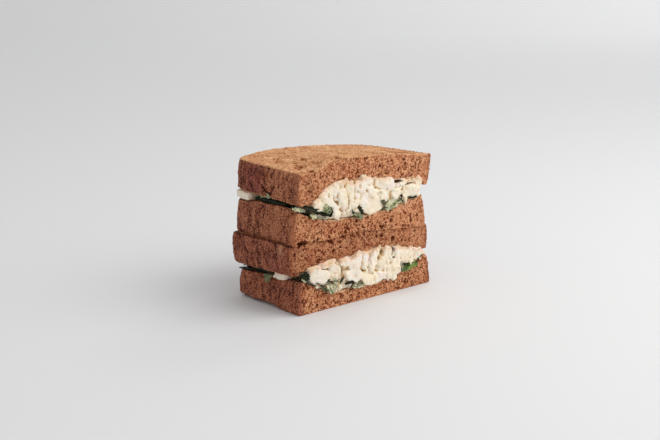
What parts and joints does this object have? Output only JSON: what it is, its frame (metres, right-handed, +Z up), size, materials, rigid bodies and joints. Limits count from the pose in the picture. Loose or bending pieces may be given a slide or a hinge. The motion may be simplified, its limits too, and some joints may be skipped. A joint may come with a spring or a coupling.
{
  "type": "sandwich",
  "caption": "Chicken salad sandwich on thick dark bread with green leaves, cut across and its halves stacked squarely with the cut faces in line.",
  "frame": {"origin": "bottom centre of the bounding box, on the surface that the lowest slice stands on", "axes": "+X along the cut faces, +Y from the cut faces to the crust at the back, +Z up"},
  "size_m": [0.107, 0.0748, 0.0841],
  "materials": {
    "bread": "soft porous crumb with a dark baked crust, matte",
    "salad": "diced chicken in mayonnaise, moist",
    "chicken": "cooked chicken, moist",
    "leaf": "fresh green leaf, semi-gloss"
  },
  "bodies": {
    "root": {"slice_1": "bread", "slice_2": "bread", "slice_3": "bread", "slice_4": "bread", "salad_lower": "salad", "salad_upper": "salad", "chicken_slab": "chicken", "chicken_shred": "chicken", "leaf_upper_left": "leaf", "leaf_upper_corner": "leaf", "leaf_upper_middle": "leaf", "leaf_upper_right": "leaf", "leaf_upper_side": "leaf", "leaf_upper_back": "leaf", "leaf_lower_corner": "leaf", "leaf_lower_side": "leaf", "leaf_lower_tip": "leaf", "leaf_lower_front": "leaf", "leaf_lower_middle": "leaf", "leaf_lower_right": "leaf", "leaf_lower_back": "leaf"}
  },
  "joints": []
}
